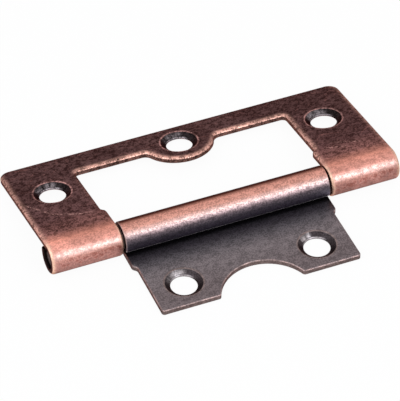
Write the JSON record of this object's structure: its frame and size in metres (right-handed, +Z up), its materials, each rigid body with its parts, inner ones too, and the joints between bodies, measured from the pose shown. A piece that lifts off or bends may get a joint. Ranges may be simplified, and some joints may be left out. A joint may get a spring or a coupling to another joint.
{
  "type": "flush hinge",
  "caption": "Flush hinge in copper-toned metal, lying open: a narrow centre leaf folds into the window of a wider frame leaf on one rolled barrel.",
  "frame": {"origin": "on the table under the middle of the hinge's overall length and depth, as it lies open", "axes": "+X along the pin, +Y from the centre leaf towards the frame leaf, +Z up from the table"},
  "size_m": [0.0762, 0.05, 0.0068],
  "materials": {
    "frame_leaf": "antique copper plating on steel, brushed, rubbed bright on the edges and knuckles",
    "centre_leaf": "antique copper plating on steel, brushed, greyer on the flat and bright on the barrel",
    "hinge_pin": "dull dark steel"
  },
  "bodies": {
    "frame": {"frame_leaf": "frame_leaf", "hinge_pin": "hinge_pin"},
    "centre": {"centre_leaf": "centre_leaf"}
  },
  "joints": [
    {"name": "leaf_hinge", "type": "hinge", "parent": "frame", "child": "centre", "pos_m": [0, -0.0045, 0.0034], "axis": [1, 0, 0], "range_deg": [-190.79, 79.21]}
  ]
}
